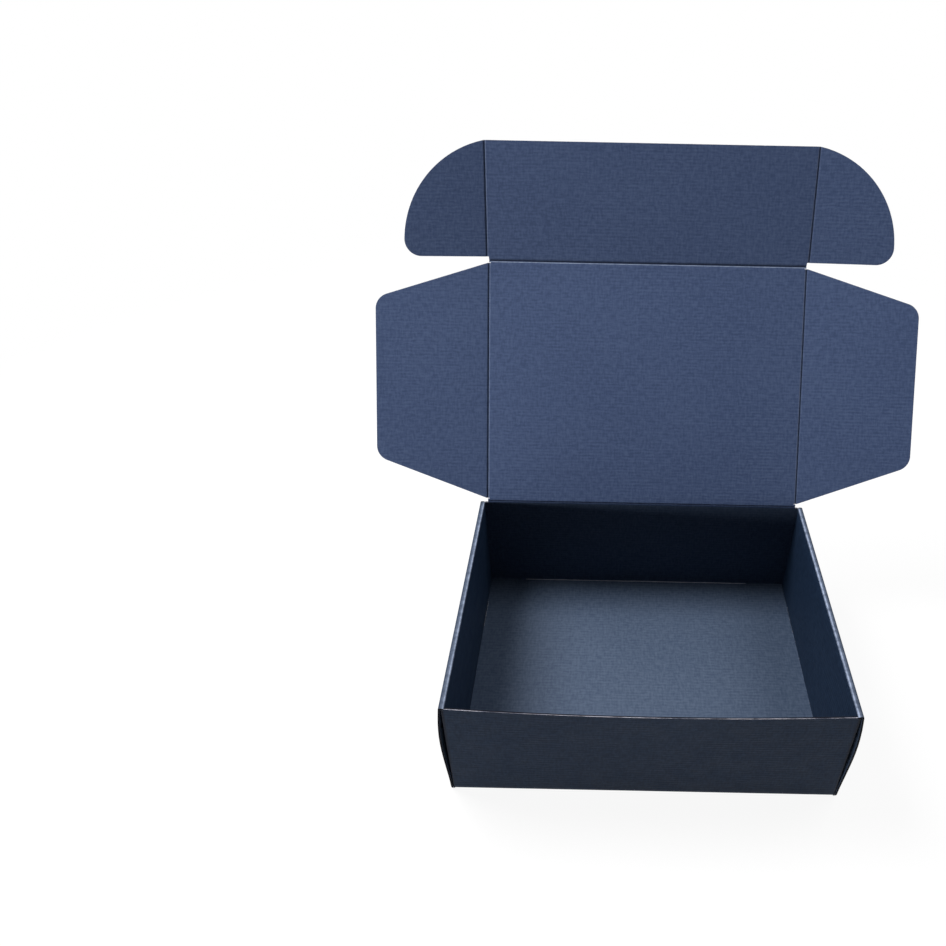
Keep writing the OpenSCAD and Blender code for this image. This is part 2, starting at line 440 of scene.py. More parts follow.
# Near-black paper. At the side walls' ends and in their fluting it is painted shade of the gap beside the
# front wall
inked_paper = bare_paper("inked_paper", (0.012, 0.013, 0.018, 1), (0.004, 0.004, 0.007, 1))
finishes = (inside_print, tray_shade_and_sheen_print, outside_print, cut_paper, flute_paper, edge_paper, inked_paper)
print("finishes:", ", ".join(material.name for material in finishes))

# %% [markdown]
# From a grid on the sheet to a paper layer
#
# Every panel is a grid of points on the flat sheet. A fold function gives each point's place
# in the box and the direction of the board's inner face there. One layer of paper is then the
# skin between two heights over the board's middle, closed all round by its cut edge. The same
# function makes both liners of every panel, so their edges are real, 0.25 mm thick.

# %% Faces of a grid
def rings(keep):
    """Corner numbers of each kept cell of a grid, and the edges that have no kept neighbour."""
    rows, columns = keep.shape
    number = np.arange((rows + 1) * (columns + 1)).reshape(rows + 1, columns + 1)
    cells = np.stack([number[:-1, :-1], number[1:, :-1], number[1:, 1:], number[:-1, 1:]], -1)
    padded = np.pad(keep, 1)
    neighbours = (padded[1:-1, :-2], padded[2:, 1:-1], padded[1:-1, 2:], padded[:-2, 1:-1])
    rims = []
    for side, neighbour in enumerate(neighbours):
        open_side = keep & ~neighbour
        rims.append(np.stack([cells[open_side][:, side], cells[open_side][:, (side + 1) % 4]], -1))
    return cells[keep], np.concatenate(rims)


def tidy_faces(points, faces):
    """Welds points that coincide, and drops the faces that shrink to nothing."""
    used = np.unique(np.concatenate([np.asarray(f).ravel() for f in faces]))
    key = np.round(points[used], 4)
    _, first, same = np.unique(key, axis=0, return_index=True, return_inverse=True)
    renumber = np.full(len(points), -1)
    renumber[used] = same.ravel()
    kept, marks = [], []
    for mark, group in enumerate(faces):
        for face in renumber[np.asarray(group)]:
            ring = [int(p) for p, q in zip(face, np.roll(face, 1)) if p != q]
            if len(set(ring)) > 2:
                kept.append(ring)
                marks.append(mark)
    return used[first], kept, marks


# %% Finished mesh
SMOOTH_BELOW = math.radians(40)


def finish_mesh(name, points, faces, marks, materials, sheet, masks):
    """Makes the object with the sheet's map, masks of worn print and painted light, and each face's finish.
    """
    mesh = bpy.data.meshes.new(name)
    mesh.from_pydata((points * MM).tolist(), [], faces)
    mesh.polygons.foreach_set("material_index", marks)
    for material in materials:
        mesh.materials.append(material)
    corners = np.zeros(len(mesh.loops), int)
    mesh.loops.foreach_get("vertex_index", corners)
    uv = mesh.uv_layers.new(name=SHEET_MAP)
    uv.data.foreach_set("uv", (sheet[corners] * MM).ravel())
    for title, values in masks.items():
        mesh.attributes.new(title, "FLOAT", "POINT").data.foreach_set("value", values.astype(np.float32))
    mesh.shade_smooth()
    mesh.set_sharp_from_angle(angle=SMOOTH_BELOW)
    mesh.validate()
    piece = bpy.data.objects.new(name, mesh)
    bpy.context.collection.objects.link(piece)
    return piece


# %% One layer of paper
LINER = 0.25
CUT_BAND = 0.8


def nowhere(u, v):
    return np.zeros(u.shape, bool)


def paper_layer(name, grid, fold, low, high, printed, material, keep=None, joined=(), fold_mask=0.0,
                inked=nowhere, cracked=0.0):
    """One paper layer of the board, between two heights over its middle.

    printed is the face that has the print, "low" or "high". joined names the sides where the
    board goes on, blackened says which bare faces are black, and cracked where the print has broken.
    """
    u, v = grid[..., 0], grid[..., 1]
    points, normals = fold(u, v)
    keep = np.ones(np.array(u.shape) - 1, bool) if keep is None else keep
    cells, rims = rings(keep)
    step_a = points[1:, :-1] - points[:-1, :-1]
    step_b = points[:-1, 1:] - points[:-1, :-1]
    facing = (np.cross(step_a, step_b) * normals[:-1, :-1]).sum(-1)[keep].sum()
    layer = np.concatenate([
        (points + normals * np.broadcast_to(high, u.shape)[..., None]).reshape(-1, 3),
        (points + normals * np.broadcast_to(low, u.shape)[..., None]).reshape(-1, 3),
    ])
    below = u.size
    top, bottom = cells, cells[:, ::-1] + below
    walls = np.stack([rims[:, 1], rims[:, 0], rims[:, 0] + below, rims[:, 1] + below], -1)
    if facing < 0:
        top, bottom, walls = top[:, ::-1], bottom[:, ::-1], walls[:, ::-1]
    printed_faces, plain_faces = (top, bottom) if printed == "high" else (bottom, top)
    bare_faces = np.concatenate([plain_faces, walls])
    corners = bare_faces % below
    black_faces = inked(u.ravel()[corners].mean(-1), v.ravel()[corners].mean(-1))
    used, faces, marks = tidy_faces(layer, [printed_faces, bare_faces[~black_faces], bare_faces[black_faces]])
    cut = np.zeros(u.shape)
    cut.ravel()[np.unique(rims)] = 1
    sides = {
        "first_row": cut[0], "last_row": cut[-1], "first_column": cut[:, 0], "last_column": cut[:, -1],
    }
    for side in joined:
        sides[side][1:-1] = 0
    marked = {CUT_MASK: np.maximum(cut, cracked), FOLD_MASK: np.broadcast_to(fold_mask, u.shape)}
    masks = {title: np.tile(values.ravel(), 2)[used] for title, values in marked.items()}
    sheet = np.tile(np.stack([u.ravel(), v.ravel()], -1), (2, 1))[used]
    return finish_mesh(name, layer[used], faces, marks, [material, cut_paper, inked_paper], sheet, masks)


# %% Both liners
def board(name, grid, fold, inner_print=inside_print, **options):
    """Both liners of a stretch of board: the inside one and the outside one."""
    inside = paper_layer(f"{name}_inside_liner", grid, fold, HALF_BOARD - LINER, HALF_BOARD,
                         "high", inner_print, **options)
    outside = paper_layer(f"{name}_outside_liner", grid, fold, -HALF_BOARD, LINER - HALF_BOARD,
                          "low", outside_print, **options)
    print(name, "liners:", len(inside.data.polygons) + len(outside.data.polygons), "faces")
    return inside, outside


# %% [markdown]
# The fluting
#
# The middle paper is a wave that runs from one liner to the other, and it shows wherever the
# sheet is cut across the flutes. It follows a rule, so Geometry Nodes make it: the tree takes
# the board's flat middle, pushes each point along the board's normal by a sine of its place
# on the sheet, and gives the wave the thickness of paper.


# %% Geometry Nodes tree for the fluting
def fluting_tree():
    tree, write, given, result = new_group(
        "Fluting", "GeometryNodeTree",
        [("Middle", "geometry"), ("Pitch", "value"), ("Swing", "value"), ("Paper", "value"),
         ("Finish", "material")],
        [("Wave", "geometry")],
    )
    named = "GeometryNodeInputNamedAttribute"
    across = write.add(named, {"Name": "across"}, data_type="FLOAT").outputs[0]
    facing = write.add(named, {"Name": "facing"}, data_type="FLOAT_VECTOR").outputs[0]
    turns = write.math("DIVIDE", across, given["Pitch"])
    wave = write.math("SINE", write.math("MULTIPLY", turns, 2 * math.pi))
    push = write.scale(facing, write.math("MULTIPLY", wave, given["Swing"]))
    waved = write.add("GeometryNodeSetPosition", {"Geometry": given["Middle"], "Offset": push}).outputs[0]
    normal = write.add("GeometryNodeInputNormal").outputs[0]
    half = write.scale(normal, write.math("MULTIPLY", given["Paper"], -0.5))
    lowered = write.add("GeometryNodeSetPosition", {"Geometry": waved, "Offset": half}).outputs[0]
    raised = write.add("GeometryNodeExtrudeMesh",
                       {"Mesh": lowered, "Offset Scale": given["Paper"], "Individual": False})
    underside = write.add("GeometryNodeFlipFaces", {"Mesh": lowered}).outputs[0]
    join = write.add("GeometryNodeJoinGeometry")
    tree.links.new(raised.outputs[0], join.inputs[0])
    tree.links.new(underside, join.inputs[0])
    closed = write.add("GeometryNodeMergeByDistance", {"Geometry": join.outputs[0], "Distance": 0.001 * MM})
    real = write.add("GeometryNodeRealizeInstances", {"Geometry": closed.outputs[0]}).outputs[0]
    done = write.add("GeometryNodeSetMaterial", {"Geometry": real, "Material": given["Finish"]}).outputs[0]
    tree.links.new(done, result["Wave"])
    return tree


fluting = fluting_tree()
print("tree:", fluting.name, "with", len(fluting.nodes), "nodes")

# %% Fluting for one body
WAVE_STEPS = 8
SHORTEST_STEP = 0.1
FLUTE_PAPER = 0.18
MEDIUM_SWING = HALF_BOARD - LINER - FLUTE_PAPER / 2


def wave_lines(low, high):
    """Places across the flutes, close enough to draw the wave."""
    step = FLUTE_PITCH / MM / WAVE_STEPS
    first, last = low / step + SHORTEST_STEP, high / step - SHORTEST_STEP
    return np.concatenate([[low], np.arange(math.ceil(first), last) * step, [high]])


def make_fluting(name, stretches, finish):
    """The wave in each stretch, a grid on the sheet with its fold function, as one mesh."""
    points, faces, across, facing = [], [], [], []
    for grid, fold in stretches:
        place, normal = fold(grid[..., 0], grid[..., 1])
        cells, _ = rings(np.ones(np.array(grid.shape[:2]) - 1, bool))
        faces += (cells + sum(len(p) for p in points)).tolist()
        points.append(place.reshape(-1, 3) * MM)
        facing.append(normal.reshape(-1, 3))
        across.append(grid[..., 1].ravel() * MM)
    mesh = bpy.data.meshes.new(name)
    mesh.from_pydata(np.concatenate(points).tolist(), [], faces)
    mesh.attributes.new("across", "FLOAT", "POINT").data.foreach_set("value", np.concatenate(across))
    vectors = mesh.attributes.new("facing", "FLOAT_VECTOR", "POINT")
    vectors.data.foreach_set("vector", np.concatenate(facing).ravel())
    flat = bpy.data.objects.new(name, mesh)
    bpy.context.collection.objects.link(flat)
    modifier = flat.modifiers.new("Fluting", "NODES")
    modifier.node_group = fluting
    sizes = {"Pitch": FLUTE_PITCH, "Swing": MEDIUM_SWING * MM, "Paper": FLUTE_PAPER * MM, "Finish": finish}
    for item in fluting.interface.items_tree:
        if item.in_out == "INPUT" and item.name in sizes:
            modifier[item.identifier] = sizes[item.name]
    shaped = flat.evaluated_get(bpy.context.evaluated_depsgraph_get())
    baked = bpy.data.meshes.new_from_object(shaped)
    flat.modifiers.remove(modifier)
    flat.data = baked
    baked.shade_smooth()
    baked.set_sharp_from_angle(angle=SMOOTH_BELOW)
    print(name, "fluting:", len(baked.polygons), "faces")
    return flat


# %% [markdown]
# The tray's folds
#
# Floor, four walls and corner flaps stay folded, so they are one piece with one fold function.
# A path of straights and bends says how far round a point has gone: across the floor, up the
# outer side wall, over the rolled rim and down the inner one. A turtle walks that path, which
# needs only the lengths and angles that a box maker would write on the drawing.

# %% Paths of the tray
INNER_X = HALF_W - 2.5 * BOARD - 2 * LAYER_GAP
SIDE_BEND_X = HALF_W - HALF_BOARD - BEND_R
CORNER_BEND_X = HALF_W - 1.5 * BOARD - LAYER_GAP - BEND_R
END_BEND_Y = HALF_D - HALF_BOARD - BEND_R
WALL_RISE = WALL_H - BOARD - 2 * BEND_R
INNER_TOP = WALL_H - HALF_BOARD - BEND_R
INNER_LOW = BOARD + LAYER_GAP
TAB_DEPTH = 1.3
CORNER_FLAP_L = 95

SIDE_PATH = [
    (SIDE_BEND_X, 0), (BEND_ARC, 90), (WALL_RISE, 0), (BEND_ARC, 90),
    (SIDE_BEND_X - INNER_X - BEND_R, 0), (BEND_ARC, 90), (WALL_H, 0),
]
END_PATH = [(END_BEND_Y, 0), (BEND_ARC, 90), (WALL_H, 0)]
CORNER_PATH = [(CORNER_BEND_X, 0), (BEND_ARC, 90), (CORNER_FLAP_L, 0)]


def walk(gone, path):
    """Place and heading in a plane after going that far along a path of straights and bends."""
    place, heading = np.zeros(gone.shape + (2,)), np.zeros(gone.shape)
    start, angle = 0.0, 0.0
    for length, turn in path:
        distance = np.clip(gone - start, 0, length)
        turned = math.radians(turn) * distance / length
        if turn:
            radius = length / math.radians(turn)
            step = (np.sin(angle + turned) - math.sin(angle), math.cos(angle) - np.cos(angle + turned))
            place += radius * np.stack(step, -1)
        else:
            place += distance[..., None] * np.array([math.cos(angle), math.sin(angle)])
        heading += turned
        start += length
        angle += math.radians(turn)
    return place, heading


# Distances along the side path at which its stretches start
U_WALL = SIDE_BEND_X + BEND_ARC
U_RIM = U_WALL + WALL_RISE
U_ROOF = U_RIM + BEND_ARC
U_ROLL = U_ROOF + SIDE_BEND_X - INNER_X - BEND_R
U_INNER = U_ROLL + BEND_ARC
U_TABS = U_INNER + INNER_TOP - INNER_LOW
U_TAB_END = U_INNER + INNER_TOP - BOARD + TAB_DEPTH
U_CORNER_FLAP = CORNER_BEND_X + BEND_ARC
U_CORNER_FLAP_END = U_CORNER_FLAP + CORNER_FLAP_L - HALF_BOARD - BEND_R


def wall_v(z):
    """How far up the sheet a height on an end wall is."""
    return END_BEND_Y + BEND_ARC + z - HALF_BOARD - BEND_R


print(f"side strip: {U_TAB_END:.1f} mm from the middle of the floor to the tips of the tabs")

# %% [markdown]
# The tray's own unevenness
#
# Board is springy. The double side walls stand out a little, most above half height, and the
# front wall's free top edge bows forwards between its two corners, as the photograph shows.

# %% Fold function of the tray
STRIP_HALF_D = HALF_D - LAYER_GAP
INNER_HALF_D = HALF_D - BOARD - TUCK_GAP
SIDE_BULGE = 3.0
BULGE_SKEW = 1.35
FRONT_BOW = 4.0
TINY = 0.001


def in_side_strip(u, v):
    return (np.abs(u) > CORNER_BEND_X + TINY) & (np.abs(v) < STRIP_HALF_D + TINY)


def fold_tray(u, v):
    """Where a point of the tray's blank lies in the folded tray, and its inner normal."""
    right, back = np.where(u < 0, -1, 1), np.where(v < 0, -1, 1)
    side, side_turn = walk(np.abs(u), SIDE_PATH)
    end, end_turn = walk(np.abs(v), END_PATH)
    corner, corner_turn = walk(np.abs(u), CORNER_PATH)
    bulge = SIDE_BULGE * np.sin(math.pi * np.clip((np.abs(u) - U_WALL) / WALL_RISE, 0, 1) ** BULGE_SKEW)
    middle = 1 - np.clip(u / CORNER_BEND_X, -1, 1) ** 2
    bow = np.where(v < 0, FRONT_BOW * middle * (end[..., 1] / FRONT_H) ** 2, 0)
    strip = np.stack([right * (side[..., 0] + bulge), v, side[..., 1] + HALF_BOARD], -1)
    strip_normal = np.stack([-right * np.sin(side_turn), 0 * v, np.cos(side_turn)], -1)
    wall = np.stack([
        right * corner[..., 0],
        back * (end[..., 0] - corner[..., 1]) - bow,
        end[..., 1] + HALF_BOARD,
    ], -1)
    wall_normal = np.stack([
        -right * np.sin(corner_turn) * np.sin(end_turn),
        -back * np.cos(corner_turn) * np.sin(end_turn),
        np.cos(end_turn),
    ], -1)
    choose = in_side_strip(u, v)[..., None]
    return np.where(choose, strip, wall), np.where(choose, strip_normal, wall_normal)


# %% Wear and painted light of the tray
# Distances along the side path, and how light the rim's film is there: partly rubbed print, partly painted
# sheen
RIM_RUB_AND_SHEEN = [
    (U_RIM, 0), (U_RIM + 0.6 * BEND_ARC, 0.05), (U_ROOF + 0.4, 0.3), (U_ROLL, 0.45),
    (U_ROLL + 0.25 * BEND_ARC, 1.3), (U_ROLL + 0.5 * BEND_ARC, 0.7), (U_INNER, 0),
]
FLOOR_FOLD_RUB = 0.5
CREASE_LINE_Z = 2.65
CREASE_LINE_FADE = 0.35
CREASE_LINE_RUB = 0.4
CRACK_HALF_W = 125
CRACK = 1.6
CHIP_R = 1.3


def bend_middle(turn):
    """1 in the middle of a path's first bend, and 0 outside it."""
    return np.sin(math.pi * np.clip(turn / (math.pi / 2), 0, 1))


def tray_wear_sheen_and_shade(u, v):
    """Wear of each point, most on the rims with painted sheen, and painted shade at the upright corners."""
    side = np.interp(np.abs(u), *np.transpose(RIM_RUB_AND_SHEEN))
    rise, end_turn = walk(np.abs(v), END_PATH)
    line = CREASE_LINE_RUB * (np.abs(np.abs(v) - wall_v(CREASE_LINE_Z)) < TINY)
    end = np.maximum(FLOOR_FOLD_RUB * bend_middle(end_turn), line)
    # Painted shade: the corner flaps are dark, and the end walls darken towards their upright corners, more
    # higher up
    near_corner = np.clip((np.abs(u) - NOTCH_X) / (CORNER_BEND_X - NOTCH_X), 0, 1)
    corner = np.where(np.abs(u) > CORNER_BEND_X + TINY, 1, near_corner * rise[..., 1] / FRONT_H)
    return np.where(in_side_strip(u, v), side, end * (corner < 1) - corner)


# %% [markdown]
# The tray's blank
#
# The grid's lines lie on every cut and fold, and a mask keeps the cells that are board. So
# the notches under the rims, the slots in the floor and the locking tabs are true cuts. A
# line 0.8 mm inside each cut edge holds the worn band there.

# %% Outline of the tray's blank
SLOT_GAP = 0.25
SLOT_X = (INNER_X - HALF_BOARD - SLOT_GAP, INNER_X + HALF_BOARD + SLOT_GAP)
TAB_INSET = 35
TAB_W = 30
TAB_Y = (HALF_D - BOARD - TAB_INSET - TAB_W, HALF_D - BOARD - TAB_INSET)
SLOT_Y = (TAB_Y[0] - SLOT_GAP, TAB_Y[1] + SLOT_GAP)
FLAP_LOW_Z = 2 * BOARD
FLAP_HIGH_Z = WALL_H - 2 * BOARD
BAND = 2.0
BACK_TOP = HINGE[2] - BAND
BEND_STEPS = np.linspace(0, BEND_ARC, 7)
WALL_STEPS = np.linspace(U_WALL, U_RIM, 13)
# Lines between the folds, where nothing changes quickly
FLOOR_X_STEPS = np.linspace(0, NOTCH_X - CUT_BAND, 12)
FLOOR_Y_STEPS = np.linspace(0, 110, 8)
INNER_STEPS = np.linspace(U_INNER, U_TABS - CUT_BAND, 8)
END_WALL_STEPS = wall_v(np.linspace(15, 95, 7))


def lines(*stretches):
    """Grid lines from several stretches, in order and each once."""
    return np.unique(np.round(np.concatenate([np.atleast_1d(s) for s in stretches]), 4))


def sheet_grid(u, v):
    """A grid on the sheet from its lines in both directions."""
    return np.stack(np.meshgrid(u, v, indexing="ij"), -1)


def tray_grid():
    """A grid with lines on every cut and fold of the blank."""
    side = lines(
        FLOOR_X_STEPS, NOTCH_X, SLOT_X, CORNER_BEND_X,
        CORNER_BEND_X + BEND_STEPS, SIDE_BEND_X + BEND_STEPS, WALL_STEPS,
        U_RIM + BEND_STEPS, U_ROLL + BEND_STEPS, INNER_STEPS,
        U_TABS - CHIP_R, U_TABS, U_TAB_END, U_CORNER_FLAP_END - CUT_BAND, U_CORNER_FLAP_END,
    )
    heights = [
        CREASE_LINE_Z - CREASE_LINE_FADE, CREASE_LINE_Z, FLAP_LOW_Z, FLAP_LOW_Z + CUT_BAND,
        FLAP_HIGH_Z - CUT_BAND, FLAP_HIGH_Z, NOTCH_Z,
    ]
    end = lines(
        FLOOR_Y_STEPS, SLOT_Y, TAB_Y, TAB_Y[1] + CHIP_R, TAB_Y[1] + 2 * CHIP_R,
        TAB_Y[1] + 3 * CHIP_R, INNER_HALF_D - CUT_BAND, INNER_HALF_D,
        END_BEND_Y + BEND_STEPS, STRIP_HALF_D - CUT_BAND, STRIP_HALF_D,
        [wall_v(z) for z in heights], END_WALL_STEPS,
    )
    u = lines(-side, side)
    v = lines(-end, end, [-wall_v(FRONT_H), -wall_v(FRONT_H - CUT_BAND), wall_v(BACK_TOP)])
    return sheet_grid(u, v)


def tray_cells(grid):
    """Which cells of the grid are board."""
    centre = (grid[1:, 1:] + grid[:-1, :-1]) / 2
    u, v = np.abs(centre[..., 0]), np.abs(centre[..., 1])
    walls = (u < CORNER_BEND_X) & ((u < NOTCH_X) | (v < wall_v(NOTCH_Z)))
    floor_side = (u < SIDE_BEND_X) & (v < END_BEND_Y)
    strip = (u > SIDE_BEND_X) & (u < U_INNER) & (v < STRIP_HALF_D)
    inner = (u > U_INNER) & (u < U_TABS) & (v < INNER_HALF_D)
    tab = (u > U_TABS) & (u < U_TAB_END) & (v > TAB_Y[0]) & (v < TAB_Y[1])
    flap_top = np.where(u < U_CORNER_FLAP, wall_v(NOTCH_Z), wall_v(FLAP_HIGH_Z))
    flap_foot = np.where(u < U_CORNER_FLAP, END_BEND_Y + BEND_ARC, wall_v(FLAP_LOW_Z))
    flap = (u > CORNER_BEND_X) & (u < U_CORNER_FLAP_END) & (v > flap_foot) & (v < flap_top)
    slot = (u > SLOT_X[0]) & (u < SLOT_X[1]) & (v > SLOT_Y[0]) & (v < SLOT_Y[1])
    return (walls | floor_side | strip | inner | tab | flap) & ~slot


# %% Cracks and black edges
def cracked_print(u, v):
    """Where the print has cracked: the fold at the back wall, and the corners of the tabs."""
    across = [INNER_HALF_D - CUT_BAND, INNER_HALF_D, END_BEND_Y + BEND_ARC / 2, END_BEND_Y + BEND_ARC]
    fold = np.interp(v, across, [0, 1, 1, 0]) * (np.abs(u) < CRACK_HALF_W)
    chip = np.exp(-((np.abs(u) - U_TABS) ** 2 + (v - TAB_Y[1] - CHIP_R) ** 2) / CHIP_R ** 2)
    return CRACK * np.maximum(fold, chip)


def black_edges(u, v):
    """Black cut edges: the side walls' ends, as painted shade of their gap, and the front wall's top."""
    wall_end = (np.abs(u) > SIDE_BEND_X) & (np.abs(v) > INNER_HALF_D - CUT_BAND) & in_side_strip(u, v)
    return wall_end | (v < -wall_v(FRONT_H - CUT_BAND))


# %% Tray
blank = tray_grid()
print(f"blank: {blank.shape[0]} x {blank.shape[1]} lines")
tray_inside, tray_outside = board(
    "tray", blank, fold_tray, tray_shade_and_sheen_print, keep=tray_cells(blank), joined=("last_column",),
    fold_mask=tray_wear_sheen_and_shade(blank[..., 0], blank[..., 1]), inked=black_edges,
    cracked=cracked_print(blank[..., 0], blank[..., 1]),
)

# %% Fluting of the tray
WAVE_DEPTH = 12.0
inner_u = np.linspace(U_INNER, U_TABS, 3)
front_u = np.linspace(-NOTCH_X, NOTCH_X, 19)
front_waves = wave_lines(-wall_v(FRONT_H), WAVE_DEPTH - wall_v(FRONT_H))
front_wave = make_fluting("front_wall_fluting", [(sheet_grid(front_u, front_waves), fold_tray)], edge_paper)
stretches = []
for columns, half_depth in ((WALL_STEPS, STRIP_HALF_D), (inner_u, INNER_HALF_D)):
    for low in (-half_depth, half_depth - WAVE_DEPTH):
        waves = wave_lines(low, low + WAVE_DEPTH)
        stretches.append((sheet_grid(columns, waves), fold_tray))
        stretches.append((sheet_grid(-columns[::-1], waves), fold_tray))
# The side walls' fluting is near black, as painted shade where it shows at their ends
side_wave = make_fluting("side_wall_fluting", stretches, inked_paper)

# %% [markdown]
# The panels of the lid
#
# The lid, its side flaps, the tuck flap and the ears are flat panels between creases. Each
# has a frame of its own: a point on its crease and the directions of the sheet's two
# coordinates. The panels stop 2 mm short of a crease, where the crease's own strip begins.

# %% Flat panels
V_HINGE = wall_v(HINGE[2])
V_TUCK = V_HINGE + LID_L
print(f"the lid starts {V_HINGE:.1f} mm up the sheet, and the tuck flap {V_TUCK:.1f} mm")


def flat_fold(origin, start, across, along):
    """Fold function of a flat panel. start is the origin's place on the sheet."""
    normal = np.cross(across, along)

    def fold(u, v):
        place = origin + (u - start[0])[..., None] * across + (v - start[1])[..., None] * along
        return place, np.broadcast_to(normal, place.shape)

    return fold


def turned_out(side, angle, face):
    """Direction of the sheet's first coordinate in a flap folded by that angle towards face."""
    angle = math.radians(angle)
    return math.cos(angle) * X_AXIS + side * math.sin(angle) * face


def spaced(low, high, count):
    """Lines between two edges, with one just inside each for the worn band."""
    return lines(low, np.linspace(low + CUT_BAND, high - CUT_BAND, count), high)


def between(places, low, high, count):
    """Rows at given places, each with points from low to high and one just inside each end."""
    inset = np.minimum(CUT_BAND, (high - low) / 4)[:, None]
    share = np.linspace(0, 1, count)
    inner = low[:, None] + inset + share * ((high - low)[:, None] - 2 * inset)
    across = np.concatenate([low[:, None], inner, high[:, None]], 1)
    return np.broadcast_to(places[:, None], across.shape), across


ALL_SIDES = ("first_row", "last_row", "first_column", "last_column")

# %% Lid and tuck flap
fold_lid = flat_fold(HINGE, (0, V_HINGE), X_AXIS, LID_UP)
lid_edge = FLAP_X - BAND
lid_grid = sheet_grid(spaced(-lid_edge, lid_edge, 12), spaced(V_HINGE + BAND, V_TUCK - BAND, 10))
lid_inside, lid_outside = board("lid", lid_grid, fold_lid, joined=ALL_SIDES)

fold_tuck = flat_fold(TUCK, (0, V_TUCK), X_AXIS, TUCK_UP)
tuck_edge = EAR_X - BAND
tuck_grid = sheet_grid(spaced(-tuck_edge, tuck_edge, 12), spaced(V_TUCK + BAND, V_TUCK + TUCK_H, 6))
tuck_inside, tuck_outside = board("tuck_flap", tuck_grid, fold_tuck, joined=ALL_SIDES[:3])
tuck_waves = wave_lines(V_TUCK + BAND, V_TUCK + TUCK_H)
tuck_strip = sheet_grid([-tuck_edge, tuck_edge], tuck_waves)
tuck_wave = make_fluting("tuck_flap_fluting", [(tuck_strip, fold_tuck)], flute_paper)

# %% [markdown]
# Lid flaps
#
# A lid flap is a trapezium whose two free corners are rounded. Its outline is two chains,
# one for each slanted end, given as functions of the distance from the crease.

# %% Lid flaps
FLAP_INSET = 2.5
FLAP_CORNER_R = 15.0
SLANT_TO_TUCK = math.radians(18.4)
SLANT_TO_BACK = math.radians(21.2)
SLANT_START = HALF_BOARD + 0.2


def slanted_end(x, slant):
    """How far a flap's end has drawn in at distance x from the crease, with its round corner."""
    straight = (x - SLANT_START) * math.tan(slant)
    centre_x = FLAP_W - FLAP_CORNER_R
    centre_y = (centre_x - SLANT_START) * math.tan(slant) + FLAP_CORNER_R / math.cos(slant)
    round_part = centre_y - np.sqrt(np.maximum(FLAP_CORNER_R ** 2 - (x - centre_x) ** 2, 0))
    on_corner = x > centre_x + FLAP_CORNER_R * math.sin(slant)
    return FLAP_INSET + np.where(on_corner, round_part, np.maximum(straight, 0))


corner_turns = np.radians(np.linspace(74, 0, 13))
flap_x = lines(
    spaced(BAND, FLAP_W - CUT_BAND, 8), FLAP_W - FLAP_CORNER_R * (1 - np.cos(corner_turns)),
)
flap_low = slanted_end(flap_x, SLANT_TO_BACK)
flap_high = LID_L - slanted_end(flap_x, SLANT_TO_TUCK)


def flap_reach(v):
    """How far a lid flap reaches from its crease at a height on the sheet."""
    back = np.interp(v, flap_low, flap_x)
    front = np.interp(-v, -flap_high, flap_x)
    return np.minimum(back, front)


def make_lid_flap(name, side, joint_name):
    across = turned_out(side, fold_at_rest(joint_name), LID_FACE)
    fold = flat_fold(HINGE + side * FLAP_X * X_AXIS, (side * FLAP_X, V_HINGE), across, LID_UP)
    x, v = between(flap_x, flap_low, flap_high, 12)
    grid = np.stack([side * (FLAP_X + x), V_HINGE + v], -1)
    inside, outside = board(name, grid, fold, joined=("first_row",))
    waves = wave_lines(flap_low[0], flap_high[0])
    reach = np.stack([np.full(waves.shape, BAND), flap_reach(waves)])
    wave_grid = np.stack([side * (FLAP_X + reach), V_HINGE + np.tile(waves, (2, 1))], -1)
    return inside, outside, make_fluting(name + "_fluting", [(wave_grid, fold)], flute_paper)


left_flap = make_lid_flap("left_lid_flap", -1, "left_lid_flap_crease")
right_flap = make_lid_flap("right_lid_flap", 1, "right_lid_flap_crease")

# %% [markdown]
# Ears
#
# An ear is a quarter round: a straight edge next to the lid, a small round corner, and one
# long arc that ends at the tuck flap's free edge. Its outline is given row by row, as the
# reach from the crease at each height.

# %% Ears
EAR_L = 76.5
EAR_SETBACK = 3.5
EAR_BELLY = 13.5
EAR_CORNER_R = 15.0
EAR_ARC_R = (EAR_L ** 2 + (TUCK_H - EAR_BELLY) ** 2) / (2 * EAR_L)
EAR_ARC_X = EAR_L - EAR_ARC_R
EAR_CORNER_Y = EAR_SETBACK + EAR_CORNER_R
EAR_CORNER_X = EAR_ARC_X + math.sqrt((EAR_ARC_R - EAR_CORNER_R) ** 2 - (EAR_CORNER_Y - EAR_BELLY) ** 2)
corner_line = math.atan2(EAR_CORNER_Y - EAR_BELLY, EAR_CORNER_X - EAR_ARC_X)
EAR_TOUCH_Y = EAR_BELLY + EAR_ARC_R * math.sin(corner_line)


def ear_reach(y):
    """How far an ear reaches from its crease at height y on the tuck flap."""
    corner = EAR_CORNER_X + np.sqrt(np.maximum(EAR_CORNER_R ** 2 - (y - EAR_CORNER_Y) ** 2, 0))
    arc = EAR_ARC_X + np.sqrt(np.maximum(EAR_ARC_R ** 2 - (y - EAR_BELLY) ** 2, 0))
    return np.where(y < EAR_TOUCH_Y, corner, arc)


ear_tip = EAR_BELLY + math.sqrt(EAR_ARC_R ** 2 - (BAND - EAR_ARC_X) ** 2)
tip_turn = math.asin((ear_tip - EAR_BELLY) / EAR_ARC_R)
ear_y = lines(
    EAR_SETBACK + CUT_BAND,
    EAR_CORNER_Y - EAR_CORNER_R * np.cos(np.linspace(0, math.pi / 2 + corner_line, 14)),
    EAR_BELLY + EAR_ARC_R * np.sin(np.linspace(corner_line, tip_turn, 30)),
)


